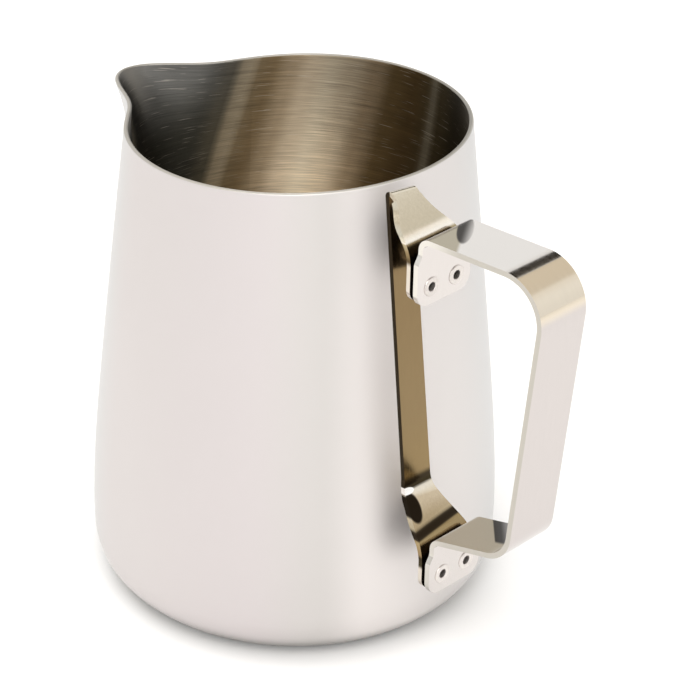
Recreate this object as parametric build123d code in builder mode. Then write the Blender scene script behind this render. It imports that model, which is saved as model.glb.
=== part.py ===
from build123d import *
import math
import os

# Milk frothing pitcher, stainless steel. Frame: +Z up, origin at the centre of the
# base's underside, handle towards +X, beak spout towards -X. Millimetres.

# ---- body -------------------------------------------------------------------
rim_height = 110.0          # rim plane above the base, on the axis
rim_slope = 2.65            # degrees, the rim plane rises towards the handle
rim_radius = 37.1           # outer radius of the wall at the rim
belly_radius = 45.6         # widest outer radius
belly_height = 16.0         # height of the widest circle
taper_softness = 0.2        # how gradually the belly turns into the straight taper
corner_radius = 12.0        # outside radius between the wall and the base
corner_height = 12.0        # where the corner meets the wall
wall = 1.0
base_thickness = 1.3
lip_round = 0.35            # rounding of both edges of the rim

# ---- beak spout -------------------------------------------------------------
spout_angle = 187.5         # direction of the beak, degrees from +X
spout_reach = 12.6          # how far the tip stands out of the round wall
spout_depth = 32.0          # the beak fades out this far below the tip
spout_lip_height = 107.8    # height of the lip at the tip
spout_spread_rim = 10.1     # angular spread of the beak at the rim, degrees
spout_spread_foot = 13.5    # and where it fades into the wall
spout_half_angle = 36.0     # the outline is a plain circle outside this angle
loft_top = 117.0            # the wall is drawn past the rim, then cut
section_heights = [corner_height, 20, 30, 42, 56, 70, 77, 84, 90, 96, 101, 106, 111, loft_top]

# ---- handle assembly, all on the plane y = handle_plane_y --------------------
handle_plane_y = -7.5
rivet_spacing = 7.4
upper_rivet_z = 93.7
lower_rivet_z = 26.7
joint_gap = 1.0             # between a tab and its flange, filled by the pads

# ---- strap handle -----------------------------------------------------------
handle_thickness = 1.2
handle_half_width = 6.7
tab_half_width = 7.9
upper_tab_x = 49.0          # mid-thickness of the tabs
lower_tab_x = 55.3
upper_tab_bottom = 89.7
lower_tab_bottom = 22.4
tab_corner_radius = 3.3
tab_shoulder = 3.2          # height over which the strap widens into a tab
upper_bend = (upper_tab_x, 105.0)
knee = (81.8, 106.8)        # top run meets the grip
heel = (75.5, 41.2)         # grip meets the bottom run
lower_bend = (lower_tab_x, 35.7)
bend_radius = 2.4           # centre line radius where a tab bends
tab_overlap = 9.0           # the strap runs down behind the tab's outline as far as this above its end
knee_radius = 9.2
heel_radius = 7.5

# ---- strap bracket ----------------------------------------------------------
bracket_thickness = 1.0
web_turn = 10.5             # degrees, the web is turned this far to lie flat on the wall
web_foot = (-3.3, 3.3)      # left and right edge of the web above the ramp, from the mid-plane
web_top = (-3.7, 2.3)       # and at the fold
web_low = (44.18, 41.4)     # centre line of the web's lower end, (x, z)
ramp_flare_top = 45.0       # where the web starts to widen into the lower flange
ramp_flare_feet = (30.5, 28.0)      # left and right height where it has its full width
roof_flare_feet = (103.0, 98.5)     # the same at the upper flange, from the fold down
fold_top = (37.1, 111.0)    # corner of the fold between web and roof
fold_radius = 0.75
ramp_radius = 6.0
roof_radius = 8.0           # centre line radius from the roof down into the upper flange
web_share = 0.28            # the two strips overlap on the roof: the web's part ends here
roof_share = 0.24           # and the roof's part starts here
trim_start = 30.0           # the outlines are cut through from here
trim_depth = 40.0
flange_half_width = 7.8
flange_corner_radius = 3.0
flange_setback = handle_thickness / 2 + joint_gap + bracket_thickness / 2
upper_flange_x = upper_tab_x - flange_setback
upper_flange_top = 102.6
upper_flange_bottom = 90.2
lower_flange_x = lower_tab_x - flange_setback
lower_flange_top = 32.8
lower_flange_bottom = 22.9
pad_radius = 2.7            # embossed pads that space the tabs off the flanges

# ---- hollow rivets ----------------------------------------------------------
rivet_head_radius = 2.15
rivet_head_height = 0.22
rivet_head_round = 0.16
rivet_shank_radius = 1.45
rivet_bore_radius = 1.0
rivet_clearance = 0.04
rivet_bulb_radius = 2.1
rivet_bulb_length = 1.3
rivet_bulb_round = 0.5
rivet_mouth = 0.12          # chamfer at the mouth of the bore
mandrel_radius = 0.96
mandrel_head_radius = 1.35
mandrel_head_length = 0.9
mandrel_head_round = 0.6
mandrel_setback = 1.0


def wall_radius(z):
    """Outer radius of the round wall at height z."""
    t = (z - belly_height) / (rim_height - belly_height)
    fade = math.hypot(t, taper_softness) - taper_softness
    whole = math.hypot(1.0, taper_softness) - taper_softness
    return belly_radius - (belly_radius - rim_radius) * fade / whole


def outline_radius(z, angle):
    """Outer radius at height z, angle degrees away from the spout's middle."""
    foot = spout_lip_height - spout_depth
    rise = max(0.0, (z - foot) / spout_depth)
    reach = spout_reach * rise ** 2.2
    spread = spout_spread_foot + (spout_spread_rim - spout_spread_foot) * min(rise, 1.0)
    return wall_radius(z) + reach * math.exp(-0.5 * (angle / spread) ** 2)


def outline_point(z, angle, inset):
    """Point of the wall's outline at height z, moved inwards by inset."""
    step = 0.05
    here = Vector(outline_radius(z, angle), 0, 0).rotate(Axis.Z, angle)
    before = Vector(outline_radius(z, angle - step), 0, 0).rotate(Axis.Z, angle - step)
    after = Vector(outline_radius(z, angle + step), 0, 0).rotate(Axis.Z, angle + step)
    along = (after - before).normalized()
    inward = Vector(-along.Y, along.X, 0)
    return (here + inward * inset).rotate(Axis.Z, spout_angle)


def wall_outline(z, inset):
    """Closed outline of the wall at height z: the beak, or an arc below it, and the round rest."""
    count = 17
    start = spout_angle - spout_half_angle
    radius = wall_radius(z) - inset
    first = Vector(radius, 0, 0).rotate(Axis.Z, start)
    last = Vector(radius, 0, 0).rotate(Axis.Z, start + 2 * spout_half_angle)
    angles = [spout_half_angle * (2 * (i + 1) / (count + 1) - 1) for i in range(count)]
    points = [first] + [outline_point(z, a, inset) for a in angles] + [last]
    first_tangent = Vector(0, 1, 0).rotate(Axis.Z, start)
    last_tangent = Vector(0, 1, 0).rotate(Axis.Z, start + 2 * spout_half_angle)
    with BuildSketch(Plane.XY.offset(z)) as outline:
        with BuildLine():
            if z < spout_lip_height - spout_depth:
                CenterArc((0, 0), radius, start, 2 * spout_half_angle)
            else:
                Spline(*points, tangents=[first_tangent, last_tangent])
            CenterArc((0, 0), radius, start + 2 * spout_half_angle, 360 - 2 * spout_half_angle)
        make_face()
    return outline


# =============================================================================
# Body: one drawn shell, a lofted wall with the beak on a turned base
# =============================================================================
rim_normal = Vector(0, 0, 1).rotate(Axis.Y, -rim_slope).rotate(Axis.Z, spout_angle - 180)
rim_plane = Plane(origin=(0, 0, rim_height), z_dir=rim_normal)

with BuildPart() as cavity:
    for height in section_heights:
        add(wall_outline(height, wall).sketch)
    loft()
    with BuildSketch(Plane.XZ):
        with BuildLine():
            cavity_edge = wall_radius(corner_height) - wall
            cavity_corner = corner_radius - base_thickness
            Line((0, corner_height), (cavity_edge, corner_height))
            cavity_foot = (cavity_edge - cavity_corner, base_thickness)
            RadiusArc((cavity_edge, corner_height), cavity_foot, cavity_corner)
            Line(cavity_foot, (0, base_thickness))
            Line((0, base_thickness), (0, corner_height))
        make_face()
    revolve(axis=Axis.Z)

with BuildPart() as pitcher_body:
    for height in section_heights:
        add(wall_outline(height, 0).sketch)
    loft()
    with BuildSketch(Plane.XZ):
        with BuildLine():
            edge = wall_radius(corner_height)
            Line((0, corner_height), (edge, corner_height))
            RadiusArc((edge, corner_height), (edge - corner_radius, 0), corner_radius)
            Line((edge - corner_radius, 0), (0, 0))
            Line((0, 0), (0, corner_height))
        make_face()
    revolve(axis=Axis.Z)
    add(cavity.part, mode=Mode.SUBTRACT)
    split(bisect_by=rim_plane, keep=Keep.BOTTOM)
    rim_edges = pitcher_body.edges().filter_by(lambda e: e.center().Z > rim_height - 12)
    rim_edges = rim_edges.filter_by(lambda e: abs(rim_plane.to_local_coords(e.center()).Z) < 0.2)
    fillet(rim_edges, lip_round)

pitcher_body.part.label = "pitcher_body"

# =============================================================================
# Strips: each is swept wide along its folded centre line, then trimmed to its outline
# =============================================================================
side_plane = Plane(origin=(0, handle_plane_y, 0), x_dir=(1, 0, 0), z_dir=(0, -1, 0))
front_plane = Plane(origin=(0, handle_plane_y, 0), x_dir=(0, 1, 0), z_dir=(1, 0, 0))
strip_width = 24.0


def folded_strip(corners, radii, width, thickness):
    """Strip of sheet folded along a centre line given by its corners, (x, z)."""
    with BuildPart() as strip:
        with BuildLine(side_plane) as path:
            FilletPolyline(*corners, radius=radii)
        section_plane = Plane(origin=path.line @ 0, x_dir=(0, 1, 0), z_dir=path.line % 0)
        with BuildSketch(section_plane):
            Rectangle(width, thickness)
        sweep(path=path.line)
    return strip


def flared_outline(x, top, neck_top, flare_top, neck_foot, flare_feet, bottom, width, corner):
    """Front outline at distance x: a neck that widens into a round-cornered plate.

    neck_top, neck_foot and flare_feet each hold a value for the left and for the right edge: where the
    edge is at the neck's two ends, and the height at which it reaches the plate's width.
    """
    with BuildSketch(front_plane.offset(x)) as outline:
        with BuildLine():
            for side, start, foot, flare_foot in zip((-1, 1), neck_top, neck_foot, flare_feet):
                edge = side * width
                Line((0, top), (start, top))
                Line((start, top), (foot, flare_top))
                Spline((foot, flare_top), (edge, flare_foot), tangents=[(0, -1), (0, -1)])
                Line((edge, flare_foot), (edge, bottom + corner))
                RadiusArc((edge, bottom + corner), (edge - side * corner, bottom), side * corner)
                Line((edge - side * corner, bottom), (0, bottom))
        make_face()
    return outline


# =============================================================================
# Bracket: web against the wall, a roof and a ramp leading out to two flanges
# =============================================================================
def turned_strip(side_corners, radii, thickness):
    """Strip of sheet folded along a centre line that differs between its two sides.

    side_corners(side) gives the corners, (x, z), at the left side, -1, and the right side, 1.
    """
    with BuildPart() as strip:
        for side in (-1, 1):
            with BuildSketch(side_plane.offset(-side * strip_width / 2)):
                with BuildLine():
                    FilletPolyline(*side_corners(side), radius=radii)
                trace(line_width=thickness)
        loft(ruled=True)
    return strip


def web_x(corner, side):
    """Where a corner of the turned web is at one side of the strip."""
    return corner[0] + side * strip_width / 2 * math.tan(math.radians(web_turn))


def roof_point(side, share):
    """Point on the roof's centre line, a share of the way from the fold to the flange."""
    start_x = web_x(fold_top, side)
    x = start_x + (upper_flange_x - start_x) * share
    z = fold_top[1] + (upper_flange_top - fold_top[1]) * share
    return (x, z)


def web_corners(side):
    return [
        (lower_flange_x, lower_flange_bottom),
        (lower_flange_x, lower_flange_top),
        (web_x(web_low, side), web_low[1]),
        (web_x(fold_top, side), fold_top[1]),
        roof_point(side, web_share),
    ]


def roof_corners(side):
    return [
        roof_point(side, roof_share),
        roof_point(side, 1.0),
        (upper_flange_x, upper_flange_bottom),
    ]


with BuildPart() as web_strip:
    add(turned_strip(web_corners, [ramp_radius, ramp_radius, fold_radius], bracket_thickness).part)
    web_front = flared_outline(trim_start, fold_top[1] + 1, web_top, ramp_flare_top, web_foot,
                               ramp_flare_feet, lower_flange_bottom, flange_half_width,
                               flange_corner_radius)
    extrude(web_front.sketch, amount=trim_depth, mode=Mode.INTERSECT)

with BuildPart() as roof_strip:
    add(turned_strip(roof_corners, [roof_radius], bracket_thickness).part)
    roof_front = flared_outline(trim_start, fold_top[1] + 1, web_top, fold_top[1], web_top,
                                roof_flare_feet, upper_flange_bottom, flange_half_width,
                                flange_corner_radius)
    extrude(roof_front.sketch, amount=trim_depth, mode=Mode.INTERSECT)


def rivet_places(z):
    """The two rivet centres of a tab at height z, in the front plane's own x, y."""
    return [(-rivet_spacing / 2, z), (rivet_spacing / 2, z)]


with BuildPart() as handle_bracket:
    add(web_strip.part)
    add(roof_strip.part)
    for flange_x, rivet_z in ((upper_flange_x, upper_rivet_z), (lower_flange_x, lower_rivet_z)):
        with BuildSketch(front_plane.offset(flange_x + bracket_thickness / 2)):
            with Locations(*rivet_places(rivet_z)):
                Circle(pad_radius)
        extrude(amount=joint_gap - 0.02)
        with BuildSketch(front_plane.offset(flange_x - bracket_thickness)):
            with Locations(*rivet_places(rivet_z)):
                Circle(rivet_shank_radius + rivet_clearance)
        extrude(amount=4, mode=Mode.SUBTRACT)

handle_bracket.part.label = "handle_bracket"

# =============================================================================
# Handle: one strip bent to a loop, with a flared tab at each end
# =============================================================================
handle_corners = [
    (upper_tab_x, upper_tab_bottom + tab_overlap),
    upper_bend,
    knee,
    heel,
    lower_bend,
    (lower_tab_x, lower_tab_bottom + tab_overlap),
]
handle_radii = [bend_radius, knee_radius, heel_radius, bend_radius]

with BuildPart() as strap_handle:
    add(folded_strip(handle_corners, handle_radii, 2 * handle_half_width, handle_thickness).part)
    upper_tab = (upper_tab_x, upper_bend, upper_tab_bottom, upper_rivet_z)
    lower_tab = (lower_tab_x, lower_bend, lower_tab_bottom, lower_rivet_z)
    for tab_x, bend, bottom, rivet_z in (upper_tab, lower_tab):
        top = bend[1] - bend_radius
        neck = (-handle_half_width, handle_half_width)
        shoulder = top - 0.3
        shoulder_feet = (shoulder - tab_shoulder, shoulder - tab_shoulder)
        tab = flared_outline(tab_x - handle_thickness / 2, top, neck, shoulder, neck, shoulder_feet,
                             bottom, tab_half_width, tab_corner_radius)
        extrude(tab.sketch, amount=handle_thickness)
        with BuildSketch(front_plane.offset(tab_x - handle_thickness)):
            with Locations(*rivet_places(rivet_z)):
                Circle(rivet_shank_radius + rivet_clearance)
        extrude(amount=2 * handle_thickness, mode=Mode.SUBTRACT)

strap_handle.part.label = "strap_handle"

# =============================================================================
# Rivets: hollow blind rivets through tab, pad and flange, each with its mandrel stub
# =============================================================================
grip = handle_thickness + joint_gap + bracket_thickness


def make_rivet(tab_x, y, z):
    """Hollow rivet: low head on the tab, shank through the joint, bulb behind the flange."""
    seat = Plane(origin=(tab_x + handle_thickness / 2, y, z), x_dir=(0, 1, 0), z_dir=(1, 0, 0))
    with BuildPart() as rivet:
        with BuildSketch(seat):
            Circle(rivet_head_radius)
        extrude(amount=rivet_head_height)
        fillet(rivet.edges().filter_by(GeomType.CIRCLE).sort_by(Axis.X)[-1], rivet_head_round)
        with BuildSketch(seat):
            Circle(rivet_shank_radius)
        extrude(amount=-grip)
        with BuildSketch(seat.offset(-grip)):
            Circle(rivet_bulb_radius)
        extrude(amount=-rivet_bulb_length)
        fillet(rivet.edges().filter_by(GeomType.CIRCLE).sort_by(Axis.X)[0], rivet_bulb_round)
        with BuildSketch(seat.offset(rivet_head_height)):
            Circle(rivet_bore_radius)
        extrude(amount=-grip - rivet_bulb_length - rivet_head_height, mode=Mode.SUBTRACT)
        bore_edges = rivet.edges().filter_by(GeomType.CIRCLE)
        bore_edges = bore_edges.filter_by(lambda e: abs(e.radius - rivet_bore_radius) < 0.01)
        chamfer(bore_edges.sort_by(Axis.X)[-1], rivet_mouth)
    return rivet.part


def make_mandrel(tab_x, y, z):
    """Broken-off mandrel: a stub down the bore and a domed head behind the bulb."""
    seat = Plane(origin=(tab_x + handle_thickness / 2, y, z), x_dir=(0, 1, 0), z_dir=(1, 0, 0))
    tail = grip + rivet_bulb_length
    with BuildPart() as mandrel:
        with BuildSketch(seat.offset(-mandrel_setback)):
            Circle(mandrel_radius)
        extrude(amount=mandrel_setback - tail)
        with BuildSketch(seat.offset(-tail)):
            Circle(mandrel_head_radius)
        extrude(amount=-mandrel_head_length)
        fillet(mandrel.edges().filter_by(GeomType.CIRCLE).sort_by(Axis.X)[0], mandrel_head_round)
    return mandrel.part


# =============================================================================
# Export
# =============================================================================
os.makedirs("parts", exist_ok=True)
export_step(pitcher_body.part, "parts/pitcher_body.step")
export_step(handle_bracket.part, "parts/handle_bracket.step")
export_step(strap_handle.part, "parts/strap_handle.step")

for level, tab_x, z in (("upper", upper_tab_x, upper_rivet_z), ("lower", lower_tab_x, lower_rivet_z)):
    for side, shift in (("left", -rivet_spacing / 2), ("right", rivet_spacing / 2)):
        y = handle_plane_y + shift
        rivet_piece = make_rivet(tab_x, y, z)
        rivet_piece.label = f"rivet_{level}_{side}"
        export_step(rivet_piece, f"parts/rivet_{level}_{side}.step")
        mandrel_piece = make_mandrel(tab_x, y, z)
        mandrel_piece.label = f"mandrel_{level}_{side}"
        export_step(mandrel_piece, f"parts/mandrel_{level}_{side}.step")
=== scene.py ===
"""Milk frothing pitcher in stainless steel: looks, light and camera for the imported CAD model.

Metres, +Z up, handle towards +X, beak spout towards -X. Every visible piece is a CAD node, so the
script gives each one a procedural steel and sets up a bright studio round it.
"""

import math

import bpy
from mathutils import Matrix, Vector


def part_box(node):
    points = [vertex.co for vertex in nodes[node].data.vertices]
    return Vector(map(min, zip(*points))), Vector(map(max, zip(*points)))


QUARTER_TURN = 0.25             # rotation as the shader counts it, in whole turns

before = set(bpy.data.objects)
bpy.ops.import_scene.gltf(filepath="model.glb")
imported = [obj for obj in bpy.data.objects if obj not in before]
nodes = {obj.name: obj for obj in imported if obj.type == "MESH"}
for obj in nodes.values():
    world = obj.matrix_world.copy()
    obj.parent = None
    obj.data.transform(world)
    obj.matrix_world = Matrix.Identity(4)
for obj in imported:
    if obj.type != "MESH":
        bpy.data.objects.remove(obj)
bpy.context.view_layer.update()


# =============================================================================
# Node tree helpers
# =============================================================================
class Shader:
    """A material's node tree, with short calls for the nodes used here."""

    def __init__(self, name):
        self.material = bpy.data.materials.new(name)
        self.material.use_nodes = True
        self.tree = self.material.node_tree
        self.tree.nodes.clear()

    def node(self, kind, **settings):
        made = self.tree.nodes.new("ShaderNode" + kind)
        for key, value in settings.items():
            setattr(made, key, value)
        return made

    def feed(self, socket, value):
        """Sets a socket to a number or colour, or links another node's output to it."""
        if isinstance(value, bpy.types.NodeSocket):
            self.tree.links.new(value, socket)
        else:
            socket.default_value = value

    def math(self, operation, a, b=0.0):
        made = self.node("Math", operation=operation)
        self.feed(made.inputs[0], a)
        self.feed(made.inputs[1], b)
        return made.outputs[0]

    def stretch(self, value, low, high, to_low=0.0, to_high=1.0, smooth=True):
        """Maps low..high to to_low..to_high, held at both ends."""
        kind = "SMOOTHSTEP" if smooth else "LINEAR"
        made = self.node("MapRange", interpolation_type=kind, clamp=True)
        limits = {"From Min": low, "From Max": high, "To Min": to_low, "To Max": to_high}
        for name, number in limits.items():
            made.inputs[name].default_value = number
        self.feed(made.inputs["Value"], value)
        return made.outputs["Result"]

    def blend(self, factor, a, b):
        """Colour a where factor is 0, colour b where it is 1."""
        made = self.node("Mix", data_type="RGBA", clamp_factor=True)
        self.feed(made.inputs["Factor"], factor)
        self.feed(made.inputs["A"], a)
        self.feed(made.inputs["B"], b)
        return made.outputs["Result"]

    def mix(self, factor, a, b):
        """Number a where factor is 0, number b where it is 1."""
        made = self.node("Mix", data_type="FLOAT")
        self.feed(made.inputs["Factor"], factor)
        self.feed(made.inputs["A"], a)
        self.feed(made.inputs["B"], b)
        return made.outputs["Result"]

    def ramp(self, value, stops):
        """Colour that follows value through the stops, each a value and a colour."""
        first, last = stops[0][0], stops[-1][0]
        made = self.node("ValToRGB")
        made.color_ramp.interpolation = "EASE"
        points = made.color_ramp.elements
        while len(points) < len(stops):
            points.new(0.5)
        for point, (where, colour) in zip(points, stops):
            point.position = (where - first) / (last - first)
            point.color = (*colour, 1)
        self.feed(made.inputs["Fac"], self.stretch(value, first, last, smooth=False))
        return made.outputs["Color"]

    def scale_colour(self, colour, factor):
        """Colour times a grey number."""
        made = self.node("Mix", data_type="RGBA", blend_type="MULTIPLY")
        made.inputs["Factor"].default_value = 1.0
        grey = self.node("CombineColor")
        for channel in grey.inputs:
            self.feed(channel, factor)
        self.feed(made.inputs["A"], colour)
        self.feed(made.inputs["B"], grey.outputs["Color"])
        return made.outputs["Result"]

    def position(self):
        """Place on the object, x, y and z in metres, and the whole vector."""
        vector = self.node("TexCoord").outputs["Object"]
        split = self.node("SeparateXYZ")
        self.feed(split.inputs[0], vector)
        return split.outputs["X"], split.outputs["Y"], split.outputs["Z"], vector

    def facing(self):
        """Surface normal in the object's axes, by axis name."""
        split = self.node("SeparateXYZ")
        self.feed(split.inputs[0], self.node("NewGeometry").outputs["Normal"])
        return split.outputs

    def lines(self, vector, squeeze, detail=3.0, roughness=0.55):
        """Noise drawn out into lines: small numbers in squeeze run along the lines."""
        mapping = self.node("Mapping", vector_type="POINT")
        self.feed(mapping.inputs["Vector"], vector)
        mapping.inputs["Scale"].default_value = squeeze
        noise = self.node("TexNoise")
        self.feed(noise.inputs["Vector"], mapping.outputs["Vector"])
        noise.inputs["Scale"].default_value = 1.0
        noise.inputs["Detail"].default_value = detail
        noise.inputs["Roughness"].default_value = roughness
        return noise.outputs["Fac"]

    def bump(self, height, distance, strength=1.0):
        made = self.node("Bump")
        self.feed(made.inputs["Height"], height)
        made.inputs["Distance"].default_value = distance
        made.inputs["Strength"].default_value = strength
        return made.outputs["Normal"]

    def steel(self, colour, roughness, normal=None, anisotropy=0.0, tangent=None):
        """The Principled shader, metallic, wired to the output.

        With a tangent, the anisotropy draws highlights out across it, as brushing along it does.
        """
        shader = self.node("BsdfPrincipled")
        self.feed(shader.inputs["Base Color"], colour)
        self.feed(shader.inputs["Roughness"], roughness)
        shader.inputs["Metallic"].default_value = 1.0
        self.feed(shader.inputs["Anisotropic"], anisotropy)
        if normal is not None:
            self.feed(shader.inputs["Normal"], normal)
        if tangent is not None:
            self.feed(shader.inputs["Tangent"], tangent)
            shader.inputs["Anisotropic Rotation"].default_value = QUARTER_TURN
        output = self.node("OutputMaterial")
        self.feed(output.inputs["Surface"], shader.outputs["BSDF"])
        return self.material


def dress(node, material):
    """Gives one CAD node its material."""
    nodes[node].data.materials.clear()
    nodes[node].data.materials.append(material)


# =============================================================================
# Body: satin outside, brushed round the axis inside
# =============================================================================
rim_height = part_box("pitcher_body")[1].z
BASE_SKIN = 0.0007              # between the base's two faces
NEAR_RIM = 0.09                 # height above which a face that looks up is the lip
LOOKS_UP = 0.8                  # upward part of the normal of the floor
WALL_TURN = 0.0006              # metres, the step between the wall's outside and inside
BANDS_MIDDLE = 134.0            # degrees from +X, where the inside is brightest
BANDS_SLANT = 400.0             # degrees per metre, the bands lean as they go down
BANDS_LEVEL = 0.019             # below the rim, where the bands have their listed angles

OUTSIDE_MIDDLE = -46.0          # degrees from +X, the middle of the painted reflections outside
# Painted reflections and shade on the outside, by angle round the axis: degrees and colour
OUTSIDE_REFLECTIONS = (
    (-180, (0.62, 0.61, 0.60)),
    (-86, (0.60, 0.60, 0.595)),
    (-60, (0.617, 0.585, 0.577)),
    (-12, (0.590, 0.553, 0.551)),
    (8, (0.575, 0.553, 0.538)),
    (22, (0.700, 0.668, 0.656)),
    (50, (0.650, 0.625, 0.615)),
    (86, (0.60, 0.60, 0.60)),
    (180, (0.62, 0.61, 0.60)),
)
# Painted shade at the foot, where the body turns under towards the floor
OUTSIDE_FOOT_SHADE = (0.26, 0.25, 0.235, 1)
# Painted reflection, darker, where the rolled lip faces up
LIP_REFLECTION = (0.46, 0.44, 0.40, 1)
SCRATCH = (0.85, 0.78, 0.68, 1)
# Painted reflection, grey, under the rim near the spout
NEAR_LIP_REFLECTION = (0.52, 0.51, 0.49, 1)

# The inside wall on the camera's side, which the photo doesn't show
INSIDE_BACK = (0.88, 0.78, 0.61)
# Reflections inside, painted by angle from the brightest line: degrees and colour
INSIDE_BANDS = (
    (-220, INSIDE_BACK),
    (-145, INSIDE_BACK),
    (-122, (0.34, 0.29, 0.21)),
    (-108, (0.66, 0.58, 0.44)),
    (-92, (0.20, 0.17, 0.12)),
    (-62, (0.045, 0.036, 0.02)),
    (-51, (0.12, 0.09, 0.045)),
    (-47.5, (0.36, 0.31, 0.22)),
    (-44, (0.16, 0.11, 0.05)),
    (-38, (0.19, 0.12, 0.05)),
    (-29, (0.28, 0.185, 0.08)),
    (-21, (0.64, 0.48, 0.30)),
    (-13, (0.92, 0.76, 0.54)),
    (-5, (0.98, 0.84, 0.62)),
    (2, (0.90, 0.74, 0.53)),
    (9, (0.66, 0.51, 0.33)),
    (16, (0.46, 0.33, 0.18)),
    (20, (0.50, 0.37, 0.21)),
    (23.5, (0.84, 0.70, 0.49)),
    (26, (0.84, 0.70, 0.49)),
    (30, (0.26, 0.23, 0.165)),
    (38, (0.13, 0.125, 0.10)),
    (54, (0.065, 0.062, 0.048)),
    (62, (0.08, 0.075, 0.06)),
    (68, (0.62, 0.55, 0.42)),
    (72, (0.10, 0.09, 0.07)),
    (90, (0.30, 0.27, 0.21)),
    (112, (0.60, 0.53, 0.41)),
    (138, INSIDE_BACK),
    (180, INSIDE_BACK),
)
# Noise scales along x, y and z: the lines run where the numbers are small
BRUSHING = (110, 110, 6500)
COARSE_BRUSHING = (40, 40, 2200)
SCUFFS = (170, 170, 4600)
HAZE = (30, 30, 22)
FINE_SHARE, COARSE_SHARE = 0.7, 0.3
SCUFF_LEVEL = (0.66, 0.74)      # noise at which a scuff starts and is full
SCUFF_STRENGTH = 0.25
NOISE_RANGE = (0.3, 0.7)        # the values that most of the noise lies between
STREAK_LIGHT = (0.32, 0.68, 0.66, 1.34)     # noise from, to and the light there
DEPTH_LIGHT = (-0.018, 0.030, 0.46, 0.86)   # metres below the bands' level and the painted light and shade there
# The painted reflection bands turn grey under the rim near the spout
GREY_HEIGHT = (0.004, -0.016)   # below the bands' level, none and full
GREY_START = (20, 45)           # degrees, none and full
GREY_END = (120, 80)
GREY_STRENGTH = 0.55
BASE_SHADE = (0.0075, 0.0012)   # height where the painted shade at the foot starts and is full
HAZE_LIGHT = (0.99, 1.01)
LIP_ROUNDING = (0.35, 0.8)      # upward part of the normal, none and full
SATIN = (0.46, 0.52)            # roughness outside
BRUSHED = (0.54, 0.66)          # roughness inside
BRUSHING_DEPTH = 0.00006
BRUSHING_BUMP = 0.6
BRUSHING_ANISOTROPY = 0.88


def angle_about(s, x, y, middle):
    """Angle round the axis in degrees, 0 at the given direction, -180 to 180."""
    turn = math.radians(middle)
    cos, sin = math.cos(turn), math.sin(turn)
    along = s.math("ADD", s.math("MULTIPLY", x, cos), s.math("MULTIPLY", y, sin))
    across = s.math("SUBTRACT", s.math("MULTIPLY", y, cos), s.math("MULTIPLY", x, sin))
    return s.math("MULTIPLY", s.math("ARCTAN2", across, along), math.degrees(1.0))


def body_steel():
    s = Shader("body_steel")
    x, y, z, place = s.position()
    facing = s.facing()
    outward = s.math("ADD", s.math("MULTIPLY", facing["X"], x), s.math("MULTIPLY", facing["Y"], y))
    wall_inside = s.stretch(outward, WALL_TURN, -WALL_TURN)
    upward = s.math("GREATER_THAN", facing["Z"], LOOKS_UP)
    above_base = s.math("GREATER_THAN", z, BASE_SKIN)
    low = s.math("LESS_THAN", z, NEAR_RIM)
    floor_inside = s.math("MULTIPLY", s.math("MULTIPLY", upward, above_base), low)
    inside = s.math("MAXIMUM", wall_inside, floor_inside)

    brushing = s.lines(place, BRUSHING, roughness=0.6)
    coarse = s.lines(place, COARSE_BRUSHING, detail=2.0)
    scuffs = s.stretch(s.lines(place, SCUFFS, detail=1.0), *SCUFF_LEVEL)
    brushing = s.math("MULTIPLY", brushing, FINE_SHARE)
    streaks = s.math("ADD", brushing, s.math("MULTIPLY", coarse, COARSE_SHARE))

    below = s.math("SUBTRACT", s.math("SUBTRACT", rim_height, z), BANDS_LEVEL)
    slant = s.math("MULTIPLY", below, BANDS_SLANT)
    angle = s.math("SUBTRACT", angle_about(s, x, y, BANDS_MIDDLE), slant)
    # Painted reflections inside by angle, painted light and shade by depth, then the real brushing
    # and scuffs
    bands = s.ramp(angle, INSIDE_BANDS)
    near_spout = s.math("MULTIPLY", s.stretch(angle, *GREY_START), s.stretch(angle, *GREY_END))
    greyed = s.math("MULTIPLY", s.stretch(below, *GREY_HEIGHT), near_spout)
    bands = s.blend(s.math("MULTIPLY", greyed, GREY_STRENGTH), bands, NEAR_LIP_REFLECTION)
    painted_light_and_wear = s.scale_colour(bands, s.stretch(streaks, *STREAK_LIGHT, smooth=False))
    painted_light_and_wear = s.scale_colour(painted_light_and_wear, s.stretch(below, *DEPTH_LIGHT))
    painted_light_and_wear = s.blend(s.math("MULTIPLY", scuffs, SCUFF_STRENGTH), painted_light_and_wear, SCRATCH)

    haze = s.lines(place, HAZE, detail=2.0)
    near_base = s.stretch(z, *BASE_SHADE)
    # Painted reflections outside, by angle round the axis, with painted shade at the foot
    outside_reflections = s.ramp(angle_about(s, x, y, OUTSIDE_MIDDLE), OUTSIDE_REFLECTIONS)
    outside = s.blend(near_base, outside_reflections, OUTSIDE_FOOT_SHADE)
    outside = s.scale_colour(outside, s.stretch(haze, *NOISE_RANGE, *HAZE_LIGHT, smooth=False))
    colour = s.blend(inside, outside, painted_light_and_wear)
    # Painted reflection on the lip's upward faces
    high = s.math("GREATER_THAN", z, NEAR_RIM)
    lip = s.math("MULTIPLY", s.stretch(facing["Z"], *LIP_ROUNDING), high)
    colour = s.blend(lip, colour, LIP_REFLECTION)

    satin = s.stretch(haze, *NOISE_RANGE, *SATIN)
    brushed = s.stretch(streaks, *NOISE_RANGE, *BRUSHED)
    roughness = s.mix(inside, satin, brushed)
    relief = s.math("MULTIPLY", streaks, inside)
    normal = s.bump(relief, BRUSHING_DEPTH, BRUSHING_BUMP)
    tangent = s.node("Tangent", direction_type="RADIAL", axis="Z").outputs["Tangent"]
    anisotropy = s.mix(inside, 0.0, BRUSHING_ANISOTROPY)
    return s.steel(colour, roughness, normal, anisotropy, tangent)
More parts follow.
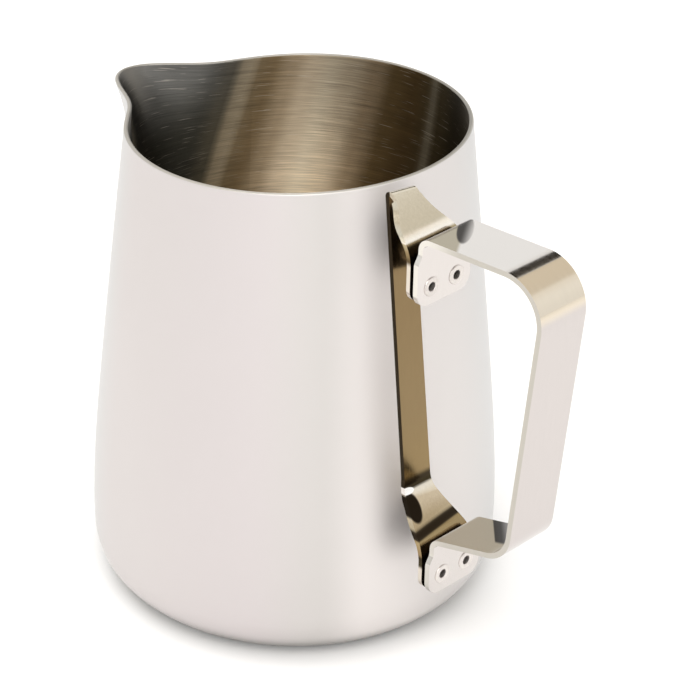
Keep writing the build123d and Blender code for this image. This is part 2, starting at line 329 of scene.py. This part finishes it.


# =============================================================================
# Bracket, handle and rivets
# =============================================================================
# Painted reflections in the polished bracket from the ramp up the web: height and colour
WEB_REFLECTIONS = (
    (0.0180, (0.66, 0.60, 0.54)),
    (0.0290, (0.64, 0.58, 0.50)),
    (0.0300, (0.05, 0.04, 0.02)),
    (0.0318, (0.04, 0.03, 0.015)),
    (0.0326, (0.27, 0.19, 0.10)),
    (0.0348, (0.33, 0.25, 0.13)),
    (0.0352, (0.03, 0.022, 0.014)),
    (0.0362, (0.03, 0.022, 0.014)),
    (0.0368, (0.48, 0.40, 0.27)),
    (0.0400, (0.68, 0.60, 0.47)),
    (0.0418, (0.74, 0.68, 0.57)),
    (0.0424, (0.035, 0.027, 0.014)),
    (0.0440, (0.04, 0.03, 0.018)),
    (0.0456, (0.25, 0.18, 0.09)),
    (0.0620, (0.235, 0.17, 0.09)),
    (0.0900, (0.22, 0.155, 0.08)),
)
# Painted reflections in the roof and its bend: height and colour
ROOF_REFLECTIONS = (
    (0.0880, (0.66, 0.60, 0.54)),
    (0.0985, (0.62, 0.56, 0.48)),
    (0.0998, (0.10, 0.07, 0.035)),
    (0.1012, (0.24, 0.17, 0.085)),
    (0.1030, (0.38, 0.31, 0.19)),
    (0.1036, (0.88, 0.83, 0.74)),
    (0.1044, (0.86, 0.80, 0.70)),
    (0.1052, (0.68, 0.645, 0.55)),
    (0.1115, (0.74, 0.715, 0.63)),
)
BLACK = (0.02, 0.015, 0.01, 1)
# Painted reflections in the side faces: dark on the web, light on the roof
WEB_EDGE_REFLECTION = (0.035, 0.026, 0.015, 1)
ROOF_EDGE_REFLECTION = (0.60, 0.55, 0.44, 1)
# Painted shade on the faces hidden under the tabs
GAP_SHADE = (0.05, 0.04, 0.03, 1)
GLINT = (0.98, 0.96, 0.92, 1)
HANDLE_PLANE = -0.0075          # y of the middle of the handle and the bracket
BANDS_TILT = 0.10               # the web's bands rise by this much of y
# A painted dark reflection and a painted highlight on the ramp
RAMP_DARK_REFLECTION = ((-0.0112, 0.0390), (0.0019, 0.0024), 0.30)    # centre, radii, lean
RAMP_GLINT = ((-0.0106, 0.0418), (0.0018, 0.0007), 0.0)
PLAIN_WEB_START = 0.044         # height above which the web's side face has its painted dark reflection
ROOF_START = 0.1035             # height above which the roof's side face has its painted light reflection
UPPER_HALF = 0.08
OFF_WEB_STEP = (0.0006, 0.0009)     # distance off the web, where the roof starts
ROOF_FACING = (0.3, 0.6)        # upward part of the normal, web and roof
GAP_DEPTH = 0.004               # distance off the web of the faces under the tabs
DRAWN_GRAIN = (2600, 2600, 90)
GRAIN_LIGHT = (0.965, 1.03)
BRACKET_ROUGHNESS = (0.12, 0.18)
# Parts of the normal along an axis, where a side or an end face starts and is full
BRACKET_SIDE = (-0.55, -0.75)
FACES_OUT = (0.95, 0.98)
WEB_AT_BASE = 0.04839           # the web's middle, continued down to the base plane
WEB_LEAN = 0.1017               # and how far it leans in per metre of height
WEB_TURN = math.tan(math.radians(10.5))


SPOT_EDGE = (1.15, 0.75)        # squared distance in radii, none and full


def spot(s, y, z, centre, radii, lean):
    """1 inside an ellipse about centre (y, z) that leans, 0 outside."""
    across = s.math("SUBTRACT", y, centre[0])
    up = s.math("SUBTRACT", z, centre[1])
    across = s.math("SUBTRACT", across, s.math("MULTIPLY", up, lean))
    part_y = s.math("POWER", s.math("ABSOLUTE", s.math("DIVIDE", across, radii[0])), 2.0)
    part_z = s.math("POWER", s.math("ABSOLUTE", s.math("DIVIDE", up, radii[1])), 2.0)
    return s.stretch(s.math("ADD", part_y, part_z), *SPOT_EDGE)


def bracket_steel():
    s = Shader("bracket_steel")
    x, y, z, place = s.position()
    facing = s.facing()
    grain = s.lines(place, DRAWN_GRAIN)
    beside = s.math("SUBTRACT", y, HANDLE_PLANE)
    slanted = s.math("SUBTRACT", z, s.math("MULTIPLY", beside, BANDS_TILT))
    # Painted reflections on the web and the ramp
    web = s.ramp(slanted, WEB_REFLECTIONS)
    # Painted dark reflection and painted highlight on the ramp
    web = s.blend(spot(s, y, z, *RAMP_DARK_REFLECTION), web, BLACK)
    web = s.blend(spot(s, y, z, *RAMP_GLINT), web, GLINT)
    # Painted reflections in the side faces of the web and the roof
    sideways = s.stretch(facing["Y"], *BRACKET_SIDE)
    plain_web = s.math("GREATER_THAN", z, PLAIN_WEB_START)
    web = s.blend(s.math("MULTIPLY", sideways, plain_web), web, WEB_EDGE_REFLECTION)
    roof = s.ramp(z, ROOF_REFLECTIONS)
    on_roof = s.math("GREATER_THAN", z, ROOF_START)
    roof = s.blend(s.math("MULTIPLY", sideways, on_roof), roof, ROOF_EDGE_REFLECTION)
    web_middle = s.math("SUBTRACT", WEB_AT_BASE, s.math("MULTIPLY", z, WEB_LEAN))
    turned = s.math("MULTIPLY", beside, WEB_TURN)
    off_web = s.math("SUBTRACT", s.math("SUBTRACT", x, web_middle), turned)
    rising = s.stretch(facing["Z"], *ROOF_FACING)
    leads_out = s.math("MAXIMUM", s.stretch(off_web, *OFF_WEB_STEP), rising)
    roof_part = s.math("MULTIPLY", s.math("GREATER_THAN", z, UPPER_HALF), leads_out)
    colour = s.blend(roof_part, web, roof)
    # Painted shade on the bracket's faces under the tabs
    in_gap = s.math("GREATER_THAN", off_web, GAP_DEPTH)
    under_tab = s.math("MULTIPLY", s.stretch(facing["X"], *FACES_OUT), in_gap)
    colour = s.blend(under_tab, colour, GAP_SHADE)
    tint = s.scale_colour(colour, s.stretch(grain, *NOISE_RANGE, *GRAIN_LIGHT, smooth=False))
    return s.steel(tint, s.stretch(grain, *NOISE_RANGE, *BRACKET_ROUGHNESS))


# Painted reflections on the handle: each part of the strap gets its own tone of the one steel,
# lighter or darker as the light falls on it
TAB_FACE = (0.635, 0.60, 0.58, 1)
GRIP = (0.565, 0.528, 0.515, 1)
KNEE = (0.72, 0.645, 0.53, 1)
HANDLE_TOP = (0.72, 0.69, 0.655, 1)
HANDLE_SIDE = (0.47, 0.445, 0.40, 1)
TAB_SIDE = (0.68, 0.65, 0.60, 1)
# Painted taupe reflections on the top run and the bottom run
TAUPE_REFLECTION = (0.40, 0.36, 0.27, 1)
RUN_TAUPE_REFLECTION = (0.56, 0.50, 0.38)
VIEW_LEAN = 0.95                # the patches run straight up the picture: x falls by this much with y
PATCH_LEAN = -0.68
PATCH_CENTRE = (-0.0054, 0.0529)    # painted dark reflection on the top run, (y, x)
PATCH_RADII = (0.0054, 0.0021)
TAUPE_EDGE = (-0.0008, 0.0004)  # distance beside the patch's line, taupe and bright
PATCH_EDGE = (-0.0007, 0.0034)  # and black and bright
RUN_EDGE = (-0.0100, -0.0088)   # y, where the run's bands start
RUN_HEIGHT = 0.06               # the bottom run lies below
GRIP_START = (0.058, 0.064)     # x, tab and grip
KNEE_START = 0.068              # x beyond which the strap bends into the grip
KNEE_FACING = (0.05, 0.30)      # upward part of the normal at the knee
TOP_HEIGHT = 0.1035             # the top run lies above
TOP_END = 0.0745                # x where the top run ends
TAB_SIDE_END = (0.0500, 0.0600)     # x, side of the tab and of the rest
TAB_BACK_END = 0.0565
STRAP_LEVEL = (0.55, 0.75)      # parts of the normal, as above
STRAP_SIDE = (-0.6, -0.85)
FACES_IN = (-0.95, -0.98)
POLISH = (160, 3000, 160)
POLISH_LIGHT = (0.985, 1.015)
HANDLE_ROUGHNESS = (0.10, 0.15)
# Painted reflections in the top of the bottom run, by x plus the view's lean times y
RUN_BANDS = (
    (0.0500, RUN_TAUPE_REFLECTION),
    (0.0594, RUN_TAUPE_REFLECTION),
    (0.0598, (0.03, 0.022, 0.015)),
    (0.0614, (0.05, 0.045, 0.04)),
    (0.0640, (0.40, 0.39, 0.38)),
    (0.0680, (0.76, 0.74, 0.71)),
)


def handle_steel():
    s = Shader("handle_steel")
    x, y, z, place = s.position()
    facing = s.facing()
    grain = s.lines(place, POLISH)
    level = s.stretch(facing["Z"], *STRAP_LEVEL)
    across = s.math("ADD", x, s.math("MULTIPLY", y, VIEW_LEAN))
    # Painted reflections on the bottom run
    run = s.blend(s.stretch(y, *RUN_EDGE), (*RUN_TAUPE_REFLECTION, 1), s.ramp(across, RUN_BANDS))
    # Painted reflections: the tones of the tab, the grip and the knee
    faces = s.blend(s.stretch(x, *GRIP_START), TAB_FACE, GRIP)
    far_out = s.math("GREATER_THAN", x, KNEE_START)
    knee_part = s.math("MULTIPLY", s.stretch(facing["Z"], *KNEE_FACING), far_out)
    faces = s.blend(knee_part, faces, KNEE)
    flat_run = s.math("MULTIPLY", level, s.math("LESS_THAN", z, RUN_HEIGHT))
    colour = s.blend(flat_run, faces, run)

    # Painted reflections on the top run: a taupe band and a dark patch
    beside = s.math("MULTIPLY", s.math("SUBTRACT", y, PATCH_CENTRE[0]), PATCH_LEAN)
    beside = s.math("SUBTRACT", s.math("SUBTRACT", x, PATCH_CENTRE[1]), beside)
    top = s.blend(s.stretch(beside, *TAUPE_EDGE), TAUPE_REFLECTION, HANDLE_TOP)
    shade = s.blend(s.stretch(beside, *PATCH_EDGE), BLACK, HANDLE_TOP)
    patch = spot(s, x, y, PATCH_CENTRE[::-1], PATCH_RADII[::-1], PATCH_LEAN)
    top = s.blend(patch, top, shade)
    before_end = s.math("LESS_THAN", x, TOP_END)
    flat_top = s.math("MULTIPLY", s.math("GREATER_THAN", z, TOP_HEIGHT), before_end)
    colour = s.blend(s.math("MULTIPLY", level, flat_top), colour, top)

    # Painted reflections in the strap's side faces
    side = s.blend(s.stretch(x, *TAB_SIDE_END), TAB_SIDE, HANDLE_SIDE)
    colour = s.blend(s.stretch(facing["Y"], *STRAP_SIDE), colour, side)
    # Painted shade on the backs of the tabs
    on_tab = s.math("LESS_THAN", x, TAB_BACK_END)
    tab_back = s.math("MULTIPLY", s.stretch(facing["X"], *FACES_IN), on_tab)
    colour = s.blend(tab_back, colour, GAP_SHADE)
    tint = s.scale_colour(colour, s.stretch(grain, *NOISE_RANGE, *POLISH_LIGHT, smooth=False))
    return s.steel(tint, s.stretch(grain, *NOISE_RANGE, *HANDLE_ROUGHNESS))


# Colour, noise scale, light and roughness over the noise
RIVET = ((0.70, 0.66, 0.63, 1), (900, 900, 900), (0.95, 1.04), (0.42, 0.50))
# The mandrel's near-black colour is painted shade in the rivet's hole
MANDREL = ((0.012, 0.007, 0.004, 1), (1500, 1500, 1500), (0.6, 1.2), (0.45, 0.65))


def worn_steel(name, colour, scale, light, roughness):
    """Plain steel with fine, even wear."""
    s = Shader(name)
    wear = s.lines(s.position()[3], scale)
    tint = s.scale_colour(colour, s.stretch(wear, *NOISE_RANGE, *light))
    return s.steel(tint, s.stretch(wear, *NOISE_RANGE, *roughness))


dress("pitcher_body", body_steel())
dress("handle_bracket", bracket_steel())
dress("strap_handle", handle_steel())
rivet_finish = worn_steel("rivet_steel", *RIVET)
mandrel_shaded_steel = worn_steel("mandrel_steel", *MANDREL)
for name in nodes:
    if name.startswith("rivet_"):
        dress(name, rivet_finish)
    if name.startswith("mandrel_"):
        dress(name, mandrel_shaded_steel)


# =============================================================================
# Studio: white floor, white surroundings, soft boxes and a dark flag
# =============================================================================
def turned_to(aim, place, axis):
    """Stands at place, with the given axis towards aim."""
    towards = Vector(aim) - Vector(place)
    return Matrix.Translation(place) @ towards.to_track_quat(axis, "Y").to_matrix().to_4x4()


def card(name, width, height, place, aim):
    """Flat rectangle at place, facing aim."""
    mesh = bpy.data.meshes.new(name)
    w, h = width / 2, height / 2
    mesh.from_pydata([(-w, -h, 0), (w, -h, 0), (w, h, 0), (-w, h, 0)], [], [(0, 1, 2, 3)])
    made = bpy.data.objects.new(name, mesh)
    bpy.context.scene.collection.objects.link(made)
    made.matrix_world = turned_to(aim, place, "Z")
    return made


def soft_box(name, side, place, power):
    """Square lamp at place, facing the pitcher."""
    lamp = bpy.data.lights.new(name, "AREA")
    lamp.shape = "RECTANGLE"
    lamp.size, lamp.size_y = side, side
    lamp.energy = power
    made = bpy.data.objects.new(name, lamp)
    bpy.context.scene.collection.objects.link(made)
    made.matrix_world = turned_to(LAMP_AIM, place, "-Z")


def plain_material(name, colour):
    """Matt paint."""
    s = Shader(name)
    shader = s.node("BsdfPrincipled")
    shader.inputs["Base Color"].default_value = colour
    shader.inputs["Roughness"].default_value = MATT
    shader.inputs["Specular IOR Level"].default_value = FAINT_SHINE
    output = s.node("OutputMaterial")
    s.feed(output.inputs["Surface"], shader.outputs["BSDF"])
    return s.material


def studio_world():
    """White surroundings: a dimmer, warm ring halfway up and a bright ceiling."""
    world = bpy.data.worlds.new("studio")
    bpy.context.scene.world = world
    world.use_nodes = True
    tree = world.node_tree
    heading = tree.nodes.new("ShaderNodeTexCoord")
    split = tree.nodes.new("ShaderNodeSeparateXYZ")
    ramp = tree.nodes.new("ShaderNodeValToRGB")
    tree.links.new(heading.outputs["Generated"], split.inputs[0])
    tree.links.new(split.outputs["Z"], ramp.inputs["Fac"])
    tree.links.new(ramp.outputs["Color"], tree.nodes["Background"].inputs["Color"])
    ramp.color_ramp.interpolation = "EASE"
    points = ramp.color_ramp.elements
    while len(points) < len(SKY):
        points.new(0.5)
    for point, (height, colour) in zip(points, SKY):
        point.position = height
        point.color = (*colour, 1)
    tree.nodes["Background"].inputs["Strength"].default_value = SKY_STRENGTH


# Sine of the height above the horizon, and the light there
SKY = (
    (0.00, (1.00, 1.00, 1.00)),
    (0.40, (1.06, 1.06, 1.06)),
    (0.55, (1.02, 1.00, 0.97)),
    (0.63, (0.82, 0.76, 0.67)),
    (0.78, (0.84, 0.77, 0.67)),
    (0.86, (1.20, 1.18, 1.15)),
    (0.94, (1.45, 1.45, 1.45)),
    (1.00, (1.50, 1.50, 1.50)),
)
SKY_STRENGTH = 1.02
FLOOR_WHITE = (0.93, 0.93, 0.93, 1)
FLOOR_SIDE = 6
MATT = 0.9                      # roughness of the floor and the flag
FAINT_SHINE = 0.1
LAMP_AIM = (0, 0, 0.05)
# Side of the lamp, its place and its power in watts
TOP_BOX = (1.2, (-0.7, -0.4, 1.6), 4)
FRONT_BOX = (1.0, (0.80, -0.83, 1.15), 13)
FLAG_SIZE = (0.52, 0.34)
FLAG_AIM = (0, 0, 0.1)
FLAG_DISTANCE = 1.6
FLAG_AZIMUTH = 117.0            # degrees from +X
FLAG_ELEVATION = 43.0

studio_world()
floor = card("floor", FLOOR_SIDE, FLOOR_SIDE, (0, 0, 0), (0, 0, 1))
floor.data.materials.append(plain_material("floor_white", FLOOR_WHITE))
soft_box("top_box", *TOP_BOX)
soft_box("front_box", *FRONT_BOX)
# The photo shows no reflection of the bracket in the body
nodes["handle_bracket"].visible_glossy = False
flag_way = Vector((1, 0, 0))
flag_way.rotate(Matrix.Rotation(math.radians(-FLAG_ELEVATION), 3, "Y"))
flag_way.rotate(Matrix.Rotation(math.radians(FLAG_AZIMUTH), 3, "Z"))
flag = card("flag", *FLAG_SIZE, flag_way * FLAG_DISTANCE, FLAG_AIM)
flag.data.materials.append(plain_material("flag_black", BLACK))

scene = bpy.context.scene
scene.view_settings.view_transform = "Standard"

# =============================================================================
# Camera
# =============================================================================
CAMERA_AZIMUTH = 43.76          # degrees, from looking along +Y round towards +X
CAMERA_ELEVATION = 29.97
CAMERA_ROLL = 1.36
CAMERA_DISTANCE = 0.63
CAMERA_LENS = 146.1             # millimetres
CAMERA_SENSOR = 36.0            # millimetres
NEAREST_SEEN = 0.01
AIM = Vector((0.0091, 0.0077, 0.0544))

lens = bpy.data.cameras.new("camera")
lens.lens = CAMERA_LENS
lens.sensor_width = CAMERA_SENSOR
lens.clip_start = NEAREST_SEEN
camera = bpy.data.objects.new("camera", lens)
scene.collection.objects.link(camera)
turn = (
    Matrix.Rotation(math.radians(CAMERA_AZIMUTH), 4, "Z")
    @ Matrix.Rotation(math.radians(90 - CAMERA_ELEVATION), 4, "X")
    @ Matrix.Rotation(math.radians(CAMERA_ROLL), 4, "Z")
)
camera.matrix_world = Matrix.Translation(AIM) @ turn @ Matrix.Translation((0, 0, CAMERA_DISTANCE))
scene.camera = camera
